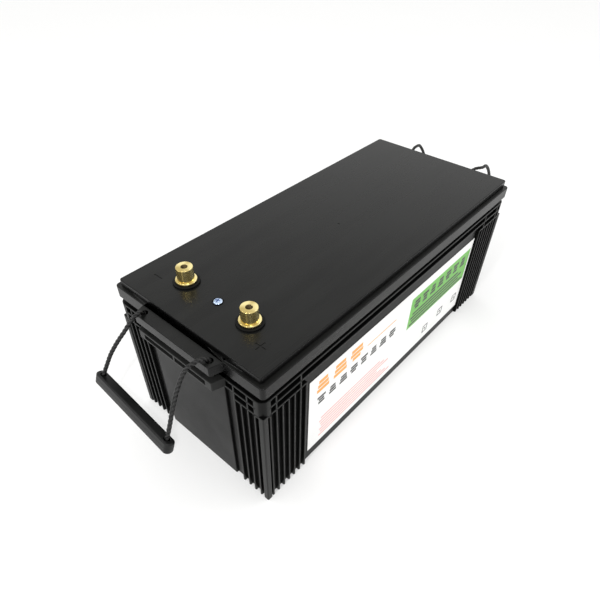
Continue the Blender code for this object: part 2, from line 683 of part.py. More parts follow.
def make_pack_hardware(mats):
    """What clamps and cushions the cells, and the electronics above them."""
    row = cell_x(CELL_COUNT - 1) + CELL[0] / 2
    wide = CELL[1] / 2
    plate0, plate1 = row + GAP, row + GAP + 6 * MM
    for name, side in (("end_plate_front", -1), ("end_plate_rear", 1)):
        x0, x1 = ends_box(side, plate0, plate1)
        make_box(name, x0, x1, -wide, wide, CELL_FLOOR, CELL_FLOOR + 150 * MM, mats["aluminium"])
    for name, z in (("steel_strap_lower", 50 * MM), ("steel_strap_upper", 125 * MM)):
        bm = bmesh.new()
        x, y = plate1 + GAP, wide + GAP
        inner = rounded_rect(-x, x, -y, y, 2 * MM, 3)
        outer = rounded_rect(-x - 0.8 * MM, x + 0.8 * MM, -y - 0.8 * MM, y + 0.8 * MM, 2.8 * MM, 3)
        add_ring(bm, outer, inner, z, z + 19 * MM)
        finish_mesh(name, bm, mats["steel"])
    make_box("bottom_pad", -row, row, -wide, wide, FLOOR + GAP, CELL_FLOOR - GAP, mats["foam"])
    strap = plate1 + 1.4 * MM
    for name, side in (("end_foam_front", -1), ("end_foam_rear", 1)):
        x0, x1 = ends_box(side, strap, CAVITY_HALF[0] - 0.5 * MM)
        make_box(name, x0, x1, -80 * MM, 80 * MM, FLOOR + GAP, 150 * MM, mats["foam"])
    for name, side in (("side_foam_left", 1), ("side_foam_right", -1)):
        ys = sorted((side * (wide + 1.4 * MM), side * (CAVITY_HALF[1] - 0.5 * MM)))
        make_box(name, -200 * MM, 200 * MM, ys[0], ys[1], FLOOR + GAP, 150 * MM, mats["foam"])

    x, y, low, high = 176 * MM, 84 * MM, 185.6 * MM, 187 * MM
    make_box("insulating_board", -x, x, -y, y, low, high, mats["board"])
    y, low, high = 47 * MM, 187.4 * MM, 203.4 * MM
    make_box("bms_unit", -165 * MM, -15 * MM, -y, y, low, high, mats["bms"], 4 * MM)
    y, low, high = 34 * MM, 203.8 * MM, 205.8 * MM
    bracket = make_box("bms_bracket", -222 * MM, -10 * MM, -y, y, low, high, mats["aluminium"])
    bm = bmesh.new()
    add_prism(bm, circle(*SCREW_AT, 2.4 * MM, 16), 200 * MM, 210 * MM)
    combine(bracket, bm, "DIFFERENCE")

    end = cell_x(CELL_COUNT - 1)
    level = 197.2 * MM
    stop = TERMINAL_Y + SHANK_RADIUS + 0.4 * MM
    positive = [
        (end, STUD_Y, 186.6 * MM),
        (end + 4 * MM, 44 * MM, 189 * MM),
        (end + 14 * MM, 10 * MM, 192 * MM),
        (end + 14 * MM, -50 * MM, 194 * MM),
        (end - 2 * MM, -86 * MM, 196 * MM),
        (end - 35 * MM, -96 * MM, level),
        (0.0, -96 * MM, level),
        (-170 * MM, -96 * MM, level),
        (-196 * MM, -93 * MM, level),
        (TERMINAL_X, -80 * MM, level),
        (TERMINAL_X, -stop, level),
    ]
    make_tube("positive_cable", positive, 4.5 * MM, mats["red"], 15 * MM)
    negative = [
        (-152 * MM, 47.4 * MM, level),
        (-153 * MM, 60 * MM, level),
        (-164 * MM, 73 * MM, level),
        (-188 * MM, 78 * MM, level),
        (TERMINAL_X + 3 * MM, 72 * MM, level),
        (TERMINAL_X, stop, level),
    ]
    make_tube("negative_cable", negative, 4.5 * MM, mats["black_cable"], 8 * MM)
    sense = [
        (-end, STUD_Y, 186.6 * MM),
        (-end + 2 * MM, 42 * MM, 188.5 * MM),
        (-184 * MM, 26 * MM, 192 * MM),
        (-177 * MM, 13 * MM, 194.5 * MM),
        (-171 * MM, 10 * MM, 195 * MM),
        (-165.4 * MM, 10 * MM, 195 * MM),
    ]
    make_tube("bms_cable", sense, 4.5 * MM, mats["black_cable"], 8 * MM)
    harness = [
        (172 * MM, 74 * MM, 189.6 * MM),
        (0.0, 74 * MM, 189.6 * MM),
        (-110 * MM, 74 * MM, 189.6 * MM),
        (-126 * MM, 68 * MM, 190.5 * MM),
        (-130 * MM, 56 * MM, 192 * MM),
        (-130 * MM, 47.4 * MM, 192 * MM),
    ]
    make_tube("balance_harness", harness, 2 * MM, mats["white_cable"], 12 * MM)


def build():
    clear_scene()
    mats = {
        "case": make_material("black_abs", (0.028, 0.029, 0.028), 0.38),
        "lid": make_material("black_abs_gloss", (0.030, 0.031, 0.030), 0.30),
        "brass": make_material("brass", (0.66, 0.47, 0.20), 0.28, 1.0),
        "zinc": make_material("zinc_plate", (0.55, 0.62, 0.72), 0.25, 1.0),
        "steel": make_material("steel", (0.5, 0.5, 0.5), 0.35, 1.0),
        "rubber": make_material("rubber", (0.012, 0.012, 0.012), 0.6),
        "label": make_material("label_film", (0.85, 0.85, 0.85), 0.45),
        "rope": make_material("black_rope", (0.02, 0.021, 0.021), 0.5),
        "grip": make_material("grip_plastic", (0.035, 0.037, 0.036), 0.4),
        "sealant": make_material("sealant", (0.02, 0.02, 0.02), 0.5),
        "can": make_material("cell_can", (0.10, 0.22, 0.45), 0.45),
        "copper": make_material("busbar", (0.75, 0.72, 0.66), 0.3, 1.0),
        "aluminium": make_material("aluminium", (0.7, 0.7, 0.7), 0.35, 1.0),
        "foam": make_material("foam", (0.06, 0.06, 0.06), 0.9),
        "board": make_material("fibreglass", (0.75, 0.72, 0.45), 0.6),
        "bms": make_material("bms_housing", (0.03, 0.03, 0.035), 0.4),
        "red": make_material("red_cable", (0.5, 0.02, 0.02), 0.45),
        "black_cable": make_material("black_cable", (0.02, 0.02, 0.02), 0.45),
        "white_cable": make_material("white_cable", (0.7, 0.7, 0.68), 0.5),
    }
    make_case(mats["case"])
    make_lid(mats["lid"])

    bead = bmesh.new()
    outer = rounded_rect(-255.8 * MM, 255.8 * MM, -111.2 * MM, 111.2 * MM, 5 * MM)
    inner = rounded_rect(-253.8 * MM, 253.8 * MM, -109.2 * MM, 109.2 * MM, 3 * MM)
    add_ring(bead, outer, inner, NECK_TOP + GAP, FLANGE_Z[0] - GAP)
    finish_mesh("lid_sealant_bead", bead, mats["sealant"])

    label = bmesh.new()
    add_box(label, -187 * MM, 192 * MM, -PANEL_HALF_Y - 0.6 * MM, -PANEL_HALF_Y - GAP, 17 * MM, 147.5 * MM)
    finish_mesh("label", label, mats["label"])

    for name, sign in (("positive", -1), ("negative", 1)):
        y = sign * TERMINAL_Y
        make_terminal("terminal_" + name, sign, mats["brass"])
        seal = "terminal_" + name + "_seal"
        outer, inner = 15.5 * MM, SHANK_RADIUS + GAP
        make_ring(seal, TERMINAL_X, y, outer, inner, PLATE_TOP + GAP, 216.5 * MM, mats["rubber"])
        make_nut("terminal_" + name + "_nut", sign, mats["brass"])
    make_screw(mats["zinc"])

    front = {
        "left": (48.5 * MM, (-329.8 * MM, 57.3 * MM, 154.2 * MM), 4.5 * MM),
        "right": (-48 * MM, (-335.2 * MM, -58.9 * MM, 153.4 * MM), 0.0),
    }
    make_handle("front", -1, front, mats["rope"], mats["grip"])
    rear = {
        "left": (53 * MM, (327 * MM, 51.2 * MM, 153 * MM), 0.0),
        "right": (-64.5 * MM, (335 * MM, -64.9 * MM, 153 * MM), -2 * MM),
    }
    make_handle("rear", 1, rear, mats["rope"], mats["grip"])

    make_cells(mats["can"], mats["copper"])
    make_pack_hardware(mats)


build()
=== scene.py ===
"""Looks for the rope-handled battery pack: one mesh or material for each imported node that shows.

Metres, +Z up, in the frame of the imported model. -X is the terminal end and -Y the label side.
"""

import math

import bmesh
import bpy
from mathutils import Matrix, Vector


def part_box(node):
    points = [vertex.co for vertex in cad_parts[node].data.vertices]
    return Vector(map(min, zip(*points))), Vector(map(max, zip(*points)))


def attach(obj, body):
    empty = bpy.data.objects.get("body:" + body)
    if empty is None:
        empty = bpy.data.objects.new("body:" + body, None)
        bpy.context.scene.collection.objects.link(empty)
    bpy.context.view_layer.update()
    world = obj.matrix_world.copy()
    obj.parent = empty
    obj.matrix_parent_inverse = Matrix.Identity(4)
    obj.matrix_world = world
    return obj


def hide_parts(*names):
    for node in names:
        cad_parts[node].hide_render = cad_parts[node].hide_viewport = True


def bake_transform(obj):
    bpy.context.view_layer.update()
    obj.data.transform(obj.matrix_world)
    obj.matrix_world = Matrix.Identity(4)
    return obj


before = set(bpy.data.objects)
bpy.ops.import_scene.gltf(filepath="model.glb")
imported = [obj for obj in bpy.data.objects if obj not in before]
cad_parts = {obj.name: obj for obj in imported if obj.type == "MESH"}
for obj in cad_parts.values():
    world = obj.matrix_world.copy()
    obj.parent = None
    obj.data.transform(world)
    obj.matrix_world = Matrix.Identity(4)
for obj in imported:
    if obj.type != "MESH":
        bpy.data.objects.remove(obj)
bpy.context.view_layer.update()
scene = bpy.context.scene
scene.view_settings.view_transform = "Standard"

MM = 0.001

# Plan sizes in pairs are half the length and half the width.

# Lid.
FLANGE = (261 * MM, 118 * MM)
FLANGE_CORNER = 5 * MM
FLANGE_Z = (189.3 * MM, 205 * MM)
PLATE_X = (-257 * MM, 259 * MM)
PLATE_Y = 112.2 * MM
PLATE_TOP = 214 * MM
PLATE_FOOT = 206.2 * MM
LID_INSIDE = (252.5 * MM, 108 * MM, 209.5 * MM)
SHELF_X = 275.7 * MM
SHELF_Y = (64.4 * MM, 59.8 * MM)
SHELF_BOTTOM = 192.6 * MM

# Case.
PANEL = (258 * MM, 113.3 * MM)
RIB_REACH = (262 * MM, 117.3 * MM)
RIB_THICK = 2.6 * MM
RIB_TOP = 160 * MM
LONG_RIBS = [-251.6 * MM + i * 9.25 * MM for i in range(7)]
END_RIBS = [75.8 * MM + i * 9.7 * MM for i in range(4)]
LONG_CROSS_RIBS = (1, 5)
END_CROSS_RIBS = (0, 2)
BAND_THICK = 2.4 * MM
RIM_TOP = 182.6 * MM
BAND_TOPS = (RIM_TOP, 171.6 * MM)
CORNER_BAND_TOP = 160.6 * MM
BAND_CORNER = 10 * MM
CORNER_BLOCK = (250.6 * MM, 104.6 * MM, 156 * MM)
POST_HALF = 3.8 * MM
END_PANEL = (261 * MM, 61.6 * MM)
NECK = (256 * MM, 111.4 * MM)
NECK_TOP = 188 * MM
NECK_FOOT = 180 * MM
BLOCK_BOTTOM = 170.6 * MM
CAVITY = (253.5 * MM, 109 * MM)
FLOOR_THICK = 5 * MM

# Terminals and the screw between them.
TERMINAL = (-209.2 * MM, 50.5 * MM)
TERMINAL_TOP = 235 * MM
STUD_BORE = 3.4 * MM
SHANK_RADIUS = 7 * MM
SCREW_AT = (-209.3 * MM, -1.5 * MM)
MARK_SIZE = (13.4 * MM, 1.8 * MM, 0.5 * MM)  # length, width, depth
MINUS_AT = (-225 * MM, 81.8 * MM)
PLUS_AT = (-226.9 * MM, -82.5 * MM)
GATE_AT = (0.0, -2 * MM)

# Rope handles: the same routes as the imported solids.
ROPE_RADIUS = 2.4 * MM
ROPE_LAY = 14 * MM
ROPE_HOLE = (267.5 * MM, 52.5 * MM, 3.9 * MM)  # x, y, radius
KNOT = (188.2 * MM, 4.2 * MM, 0.85)  # height, half its length, how much wider than the rope
SWING_AXIS = (283 * MM, 210.3 * MM)  # x, z
RING_STEP, PATH_STEP = 0.8 * MM, 2.5 * MM
# x, z, and the share of the way from the hole's Y to the rope's Y at the swing axis.
ANCHOR_ROUTE = (
    (267.5 * MM, 184.2 * MM, 0.0),
    (267.5 * MM, 192 * MM, 0.0),
    (267.5 * MM, 203 * MM, 0.0),
    (269.2 * MM, 207.4 * MM, 0.15),
    (273 * MM, 209.9 * MM, 0.45),
    (277.4 * MM, 210.4 * MM, 0.75),
)
# Shares of the way from the swing axis to the mouth of the grip: along X, down and along Y.
LEG_ROUTE = (
    (0.0, 0.0, 0.0),
    (0.145, 0.022, -0.06),
    (0.29, 0.103, 0.0),
    (0.497, 0.273, 0.3),
    (0.704, 0.51, 0.65),
    (0.86, 0.762, 0.88),
    (1.0, 1.0, 1.0),
)
# Each rope: its Y at the swing axis, where it enters the grip, and how far its leg sags.
HANDLES = {
    "front": {
        "left": (48.5 * MM, (-329.8 * MM, 57.3 * MM, 154.2 * MM), 4.5 * MM),
        "right": (-48 * MM, (-335.2 * MM, -58.9 * MM, 153.4 * MM), 0.0),
    },
    "rear": {
        "left": (53 * MM, (327 * MM, 51.2 * MM, 153 * MM), 0.0),
        "right": (-64.5 * MM, (335 * MM, -64.9 * MM, 153 * MM), -2 * MM),
    },
}
GRIP_LENGTH = 134 * MM
GRIP_SIZE = (11.6 * MM, 13 * MM)
GRIP_SPAN = 58.2 * MM
GRIP_LEAN = math.radians(21)

# The camera: where it looks from, its place along its own axes in metres, and its lens.
VIEW_AZIMUTH = math.radians(-48.2255)
VIEW_ELEVATION = math.radians(43.7981)
CAMERA_BACK, CAMERA_RIGHT, CAMERA_UP = 0.7938, -0.0584, 0.0137
SENSOR_WIDTH = 36
FOCAL_LENGTH, PICTURE_WIDTH = 497.0, 600
LENS_SHIFT = (0.01243, 0.0527)

# The studio: soft boxes as (name, place, target, size, power), and a paper floor with some glow.
STUDIO_WHITE = (1.0, 1.0, 0.995, 1.0)
WORLD_STRENGTH = 1.0
SOFTBOXES = (
    ("end_light", (-1.9, -0.3, 1.5), (-0.2, 0, 0.1), (0.2, 0.2), 12),
    ("corner_light", (-0.9, -1.1, 1.7), (-0.2, 0, 0.15), (0.05, 0.05), 7),
    ("long_edge_light", (1.1, -1.05, 1.3), (0, 0, 0.2), (0.8, 0.06), 3),
    ("short_edge_light", (-1.1, 1.0, 1.5), (0, 0, 0.2), (0.8, 0.06), 3),
)
FLOOR_HALF = 6.0
FLOOR_GLOW = 0.24


# ---------------------------------------------------------------- camera, world and lights


def set_camera():
    az, el = VIEW_AZIMUTH, VIEW_ELEVATION
    back = Vector((math.sin(az) * math.cos(el), -math.cos(az) * math.cos(el), math.sin(el)))
    right = (-back).cross(Vector((0, 0, 1))).normalized()
    up = right.cross(-back)
    data = bpy.data.cameras.new("camera")
    camera = bpy.data.objects.new("camera", data)
    scene.collection.objects.link(camera)
    camera.location = back * CAMERA_BACK + right * CAMERA_RIGHT + up * CAMERA_UP
    camera.rotation_mode = "QUATERNION"
    camera.rotation_quaternion = (-back).to_track_quat("-Z", "Y")
    data.sensor_width = SENSOR_WIDTH
    data.lens = SENSOR_WIDTH * FOCAL_LENGTH / PICTURE_WIDTH
    data.shift_x, data.shift_y = LENS_SHIFT
    scene.camera = camera


def add_softbox(name, place, target, size, power):
    data = bpy.data.lights.new(name, "AREA")
    data.shape = "RECTANGLE"
    data.size, data.size_y = size
    data.energy = power
    light = bpy.data.objects.new(name, data)
    light.location = place
    light.rotation_mode = "QUATERNION"
    light.rotation_quaternion = (Vector(target) - Vector(place)).to_track_quat("-Z", "Y")
    scene.collection.objects.link(light)


def set_studio():
    world = bpy.data.worlds.new("studio")
    scene.world = world
    world.use_nodes = True
    shade = world.node_tree.nodes["Background"]
    shade.inputs["Color"].default_value = STUDIO_WHITE
    shade.inputs["Strength"].default_value = WORLD_STRENGTH
    for softbox in SOFTBOXES:
        add_softbox(*softbox)
    mesh = bpy.data.meshes.new("floor")
    square = rectangle(-FLOOR_HALF, FLOOR_HALF, -FLOOR_HALF, FLOOR_HALF)
    corners = [(*corner, 0) for corner in square]
    mesh.from_pydata(corners, [], [(0, 1, 2, 3)])
    floor = bpy.data.objects.new("floor", mesh)
    scene.collection.objects.link(floor)
    mesh.materials.append(plain_floor())


# ---------------------------------------------------------------- materials


# Sockets of a colour Mix node.
MIX_FACTOR, MIX_FIRST, MIX_SECOND, MIX_RESULT = 0, 6, 7, 2
# The length of one wave of the wave texture at scale 1.
WAVE_LENGTH = 0.314


class Finish:
    """A Principled material with a few shorthand calls for its procedural nodes."""

    def __init__(self, name, colour, roughness, metallic=0.0, **sockets):
        self.material = bpy.data.materials.new(name)
        self.material.use_nodes = True
        self.tree = self.material.node_tree
        self.shader = self.tree.nodes["Principled BSDF"]
        self.colour = colour
        self.shader.inputs["Base Color"].default_value = (*colour, 1.0)
        self.shader.inputs["Roughness"].default_value = roughness
        self.shader.inputs["Metallic"].default_value = metallic
        for socket, value in sockets.items():
            self.shader.inputs[socket.replace("_", " ")].default_value = value
        self.coords = self.node("ShaderNodeTexCoord").outputs["Object"]

    def node(self, kind, links=(), **values):
        node = self.tree.nodes.new(kind)
        for key, value in values.items():
            if key in node.inputs:
                node.inputs[key].default_value = value
            else:
                setattr(node, key, value)
        for key, source in dict(links).items():
            self.tree.links.new(source, node.inputs[key])
        return node

    def noise(self, size, stretch=(1, 1, 1), detail=2.0, source=None):
        mapping = self.node("ShaderNodeMapping", {"Vector": source or self.coords})
        mapping.inputs["Scale"].default_value = [s / size for s in stretch]
        links = {"Vector": mapping.outputs["Vector"]}
        noise = self.node("ShaderNodeTexNoise", links, Scale=1.0, Detail=detail)
        return noise.outputs["Fac"]

    def spread(self, source, low, high, start=0.3, end=0.7):
        """A value from low to high as the source goes from start to end."""
        node = self.node("ShaderNodeMapRange", {"Value": source})
        for i, value in enumerate((start, end, low, high), 1):
            node.inputs[i].default_value = value
        return node.outputs["Result"]

    def mix(self, source, first, second):
        node = self.node("ShaderNodeMix", data_type="RGBA")
        for index, value in ((MIX_FIRST, first), (MIX_SECOND, second)):
            if isinstance(value, tuple):
                node.inputs[index].default_value = (*value, 1.0)
            else:
                self.tree.links.new(value, node.inputs[index])
        self.tree.links.new(source, node.inputs[MIX_FACTOR])
        return node.outputs[MIX_RESULT]

    def math(self, operation, a, b):
        node = self.node("ShaderNodeMath", operation=operation)
        for index, value in enumerate((a, b)):
            if isinstance(value, (int, float)):
                node.inputs[index].default_value = value
            else:
                self.tree.links.new(value, node.inputs[index])
        return node.outputs[0]

    def paint(self, source):
        self.tree.links.new(source, self.shader.inputs["Base Color"])

    def rough(self, source):
        self.tree.links.new(source, self.shader.inputs["Roughness"])

    def bump(self, source, depth, strength=1.0):
        values = {"Strength": strength, "Distance": depth}
        links = {"Height": source}
        if self.shader.inputs["Normal"].links:
            links["Normal"] = self.shader.inputs["Normal"].links[0].from_socket
        node = self.node("ShaderNodeBump", links, **values)
        self.tree.links.new(node.outputs["Normal"], self.shader.inputs["Normal"])

    def drift(self, size, amount, stretch=(1, 1, 1)):
        """Slow changes of shade about the material's own colour."""
        low = tuple(c * (1 - amount) for c in self.colour)
        high = tuple(min(1.0, c * (1 + amount)) for c in self.colour)
        self.paint(self.mix(self.spread(self.noise(size, stretch), 0, 1), low, high))


def plain_floor():
    """Matt white paper under the pack."""
    floor = Finish("floor_paper", (0.70, 0.70, 0.697), 0.9)
    floor.shader.inputs["Emission Color"].default_value = STUDIO_WHITE
    floor.shader.inputs["Emission Strength"].default_value = FLOOR_GLOW
    floor.drift(0.4, 0.004)
    return floor.material


def proud_faces(mat):
    """1 on the outer faces of the ribs and bands, which catch the light; 0 on the panels, which
    get a darker painted shade.
    """
    axes = mat.node("ShaderNodeSeparateXYZ", {"Vector": mat.coords}).outputs
    proud = []
    for axis, reach in zip("XY", RIB_REACH):
        out = mat.node("ShaderNodeMath", {0: axes[axis]}, operation="ABSOLUTE").outputs[0]
        proud.append(mat.spread(out, 0, 1, reach - 0.9 * MM, reach - 0.3 * MM))
    return mat.math("MAXIMUM", *proud)


def upper_faces(mat):
    """1 on the faces that look up, which keep the lid's colour; 0 on the sides, which get a darker
    painted shade.
    """
    normal = mat.node("ShaderNodeTexCoord").outputs["Normal"]
    upward = mat.node("ShaderNodeSeparateXYZ", {"Vector": normal}).outputs["Z"]
    return mat.spread(upward, 0, 1, 0.75, 0.98)


def moulded_plastic(name, colour, low, high, streaks, texture, gloss=0.5, deep=None, lit_faces=None):
    """Injection-moulded ABS: faint flow marks along the part, a fine skin texture and few scuffs.

    Roughness runs from low to high; streaks is the share of flow marks in the shading and texture
    the depth of the skin. Given a face mask, the colour is only on the faces which that function
    picks, and a much darker colour, a painted shade, is on the others.
    """
    darker, lighter = 0.78, 1.25
    mat = Finish(name, colour, low, Specular_IOR_Level=gloss)
    flow = mat.noise(22 * MM, (0.16, 1, 1), 3.0)
    cloud = mat.noise(90 * MM)
    flow_part = mat.math("MULTIPLY", flow, streaks)
    both = mat.math("ADD", flow_part, mat.math("MULTIPLY", cloud, 1 - streaks))
    shade = mat.spread(both, 0, 1, 0.35, 0.65)
    dark = tuple(c * darker for c in colour)
    light = tuple(c * lighter for c in colour)
    tone = mat.mix(shade, dark, light)
    # Painted shade: faces outside the mask take the much darker colour.
    if lit_faces:
        tone = mat.mix(lit_faces(mat), deep, tone)
    mat.paint(tone)
    skin = mat.noise(0.9 * MM, detail=3.0)
    scuffs = mat.spread(mat.noise(3 * MM, (0.05, 1, 1), 4.0), 0.0, 0.06, 0.62, 0.72)
    base = mat.spread(both, low, high, 0.35, 0.65)
    mat.rough(mat.math("ADD", base, scuffs))
    mat.bump(skin, texture)
    mat.bump(cloud, 0.25 * MM, 0.35)
    return mat.material


def laid_rope():
    """Black polypropylene: glossy fibres on each strand's crown, and the lay between the strands
    painted near black, a painted shade.
    """
    grey, strands = (0.03, 0.03, 0.03), 3.0
    mat = Finish("black_rope", grey, 0.3, Sheen_Weight=0.02, Specular_IOR_Level=0.3)
    uv = mat.node("ShaderNodeUVMap", uv_map="lay").outputs["UV"]
    fibres = mat.noise(1.0, (60, 90, 1), 3.0, uv)
    tufts = mat.noise(1.0, (14, 700, 1), 2.0, uv)
    axes = mat.node("ShaderNodeSeparateXYZ", {"Vector": uv}).outputs
    turns = mat.math("MULTIPLY", mat.math("SUBTRACT", axes["X"], axes["Y"]), strands)
    # Painted shade: the lay between the strands is painted near black.
    valley = mat.spread(mat.math("PINGPONG", turns, 0.5), 0, 1, 0.04, 0.30)
    crown = mat.mix(mat.spread(fibres, 0, 1), (0.004, 0.004, 0.004), (0.034, 0.034, 0.033))
    mat.paint(mat.mix(valley, crown, (0.0015, 0.0015, 0.0015)))
    mat.rough(mat.spread(tufts, 0.26, 0.42))
    mat.bump(fibres, 0.08 * MM)
    return mat.material


def turned_metal(name, light, dark, low, high, grain, metallic=1.0):
    """Metal off a lathe: tool lines round the sides and in rings on the flat faces.

    The lines are 2 pi grain apart. The colour runs in upright streaks between light and dark, a
    painted reflection.
    """
    mat = Finish(name, light, low, metallic)
    scale = WAVE_LENGTH / (2 * math.pi * grain)
    lines = []
    for kind in ("BANDS", "RINGS"):
        ways = {kind.lower() + "_direction": "Z", "Detail Scale": 0.4}
        links = {"Vector": mat.coords}
        wave = mat.node(
            "ShaderNodeTexWave", links, wave_type=kind, Scale=scale, Distortion=0.6, **ways
        )
        lines.append(wave.outputs["Fac"])
    tool = mat.math("ADD", *lines)
    # Painted reflection: upright streaks of lighter and darker colour.
    reflection_streak = mat.noise(9 * MM, (1, 1, 0.02), 0.0)
    mat.paint(mat.mix(mat.spread(reflection_streak, 0, 1, 0.36, 0.64), dark, light))
    mat.rough(mat.spread(mat.noise(6 * MM, detail=0.0), low, high))
    mat.bump(tool, 0.00004 * MM)
    return mat.material


def simple(
    name, colour, low, high, metallic=0.0,
    size=6 * MM, depth=0.02 * MM, stretch=(1, 1, 1), gloss=0.5,
):
    """Colour drift, uneven gloss and a little relief, for parts that are mostly out of sight."""
    mat = Finish(name, colour, low, metallic, Specular_IOR_Level=gloss)
    mat.drift(size, 0.1, stretch)
    fine = mat.noise(size / 8, stretch, 3.0)
    mat.rough(mat.spread(fine, low, high))
    mat.bump(fine, depth)
    return mat.material


def woven_board():
    """Glass-fibre laminate: the weave shows as two crossed waves."""
    mat = Finish("fibreglass", (0.62, 0.60, 0.34), 0.5)
    mat.drift(20 * MM, 0.12)
    links = {"Vector": mat.coords}
    weave = []
    for axis in "XY":
        ways = {"bands_direction": axis, "Scale": 220.0, "Distortion": 0.8}
        weave.append(mat.node("ShaderNodeTexWave", links, **ways).outputs["Fac"])
    mat.bump(mat.math("ADD", *weave), 0.05 * MM)
    return mat.material


def closed_foam():
    """Black foam with fine closed cells."""
    mat = Finish("foam", (0.05, 0.05, 0.052), 0.9)
    mat.drift(8 * MM, 0.2)
    cells = mat.node("ShaderNodeTexVoronoi", {"Vector": mat.coords}, Scale=900.0)
    mat.bump(cells.outputs["Distance"], 0.3 * MM)
    return mat.material


def printed_film(name, colour):
    """Ink or bare film on the label: a light, even surface with a little orange peel."""
    mat = Finish(name, colour, 0.38)
    mat.drift(60 * MM, 0.03)
    fine = mat.noise(1.6 * MM)
    mat.rough(mat.spread(fine, 0.33, 0.45))
    mat.bump(fine, 0.012 * MM)
    return mat.material


# ---------------------------------------------------------------- mesh helpers


def in_metres(pairs):
    """(radius, height) pairs written in millimetres."""
    return [(radius * MM, height * MM) for radius, height in pairs]


def rectangle(x0, x1, y0, y1):
    return [(x0, y0), (x1, y0), (x1, y1), (x0, y1)]


def round_corners(points, radii, steps):
    """An outline with an arc of steps + 1 points in place of each corner."""
    if not hasattr(radii, "__len__"):
        radii = [radii] * len(points)
    out = []
    for i, radius in enumerate(radii):
        a, b, c = (Vector(points[k % len(points)]) for k in (i - 1, i, i + 1))
        u, v = (a - b).normalized(), (c - b).normalized()
        half = u.angle(v) / 2
        centre = b + (u + v).normalized() * (radius / math.sin(half))
        start = b + u * (radius / math.tan(half)) - centre
        end = b + v * (radius / math.tan(half)) - centre
        total = math.pi - 2 * half
        for k in range(steps + 1):
            t = k / steps
            first = math.sin((1 - t) * total) / math.sin(total)
            second = math.sin(t * total) / math.sin(total)
            out.append(centre + start * first + end * second)
    return out


def offset(points, depth):
    """A closed counter-clockwise outline moved inwards."""
    out = []
    for i, _ in enumerate(points):
        a, b, c = (Vector(points[k % len(points)]) for k in (i - 1, i, i + 1))
        u, v = (b - a).normalized(), (c - b).normalized()
        inward = Vector((-u.y - v.y, u.x + v.x))
        out.append(b + inward * (2 * depth / inward.length_squared))
    return out


def rounded(z0, z1, low, high, steps=3):
    """(height, inset) pairs up a side whose bottom and top edges are rounded."""
    turn = [math.pi / 2 * i / steps for i in range(steps + 1)]
    bottom = [(z0 + low * (1 - math.cos(a)), low * (1 - math.sin(a))) for a in turn]
    top = [(z1 - high * (1 - math.sin(a)), high * (1 - math.cos(a))) for a in turn]
    return bottom + top


def skin(bm, rings, closed=False):
    """Faces between successive rings of one length, capped at both ends or closed into a loop."""
    made = [[bm.verts.new(p) for p in ring] for ring in rings]
    count = len(made[0])
    pairs = list(zip(made, made[1:]))
    if closed:
        pairs.append((made[-1], made[0]))
    else:
        bm.faces.new(list(reversed(made[0])))
        bm.faces.new(made[-1])
    for low, high in pairs:
        for i in range(count):
            j = (i + 1) % count
            bm.faces.new((low[i], low[j], high[j], high[i]))


def slab(bm, outline, profile):
    """A solid of one plan outline, with (height, inset) pairs from bottom to top."""
    skin(bm, [[(*p, z) for p in offset(outline, inset)] for z, inset in profile])


def turned(bm, profile, x=0.0, y=0.0, sides=64):
    """A solid turned about a vertical axis from (radius, height) pairs.

    A radius may be a function of angle and height.
    """
    rings = []
    for radius, z in profile:
        ring = []
        for i in range(sides):
            angle = 2 * math.pi * i / sides
            reach = radius(angle, z) if callable(radius) else radius
            ring.append((x + reach * math.cos(angle), y + reach * math.sin(angle), z))
        rings.append(ring)
    skin(bm, rings)


def make_piece(name, bm, material=None, sharp=38, weighted=True):
    """An object from a finished bmesh, which is freed."""
    mesh = bpy.data.meshes.new(name)
    bmesh.ops.recalc_face_normals(bm, faces=bm.faces)
    bm.to_mesh(mesh)
    bm.free()
    obj = bpy.data.objects.new(name, mesh)
    scene.collection.objects.link(obj)
    if material:
        mesh.materials.append(material)
    settle(obj, sharp, weighted)
    return obj


def settle(obj, sharp=38, weighted=True):
    """Smooth shading with sharp edges by angle, and flat faces kept flat beside rounded edges."""
    obj.data.shade_smooth()
    obj.data.set_sharp_from_angle(angle=math.radians(sharp))
    if weighted and "weights" not in obj.modifiers:
        modifier = obj.modifiers.new("weights", "WEIGHTED_NORMAL")
        modifier.keep_sharp = True
        modifier.weight = 100


def combine(obj, bm, operation):
    """Adds a solid to a piece, or cuts it out, in the piece's own mesh."""
    obj.modifiers.clear()
    tool = make_piece("tool", bm, weighted=False)
    modifier = obj.modifiers.new("combine", "BOOLEAN")
    modifier.operation = operation
    modifier.solver = "EXACT"
    modifier.object = tool
    bpy.context.view_layer.update()
    graph = bpy.context.evaluated_depsgraph_get()
    result = bpy.data.meshes.new_from_object(obj.evaluated_get(graph))
    obj.modifiers.clear()
    old = obj.data
    obj.data = result
    bpy.data.meshes.remove(old)
    bpy.data.objects.remove(tool, do_unlink=True)


def combine_turned(obj, operation, profile, x, y, sides):
    """The same with a solid turned about a vertical axis at x, y."""
    bm = bmesh.new()
    turned(bm, profile, x, y, sides)
    combine(obj, bm, operation)


def combine_slab(obj, operation, outline, profile):
    """The same with a slab."""
    bm = bmesh.new()
    slab(bm, outline, profile)
    combine(obj, bm, operation)


# ---------------------------------------------------------------- rope handles


def smooth_route(points, step):
    """Points about one step apart on a Catmull-Rom curve through a route's own points."""
    pts = [Vector(p) for p in points]
    pts = [2 * pts[0] - pts[1], *pts, 2 * pts[-1] - pts[-2]]
    route = []
    for i in range(1, len(pts) - 2):
        a, b, c, d = pts[i - 1:i + 3]
        count = max(1, round((c - b).length / step))
        for k in range(count):
            t = k / count
            linear = (c - a) * t
            square = (2 * a - 5 * b + 4 * c - d) * t * t
            cube = (3 * b - a - 3 * c + d) * t * t * t
            route.append(b + 0.5 * (linear + square + cube))
    route.append(pts[-2])
    return route


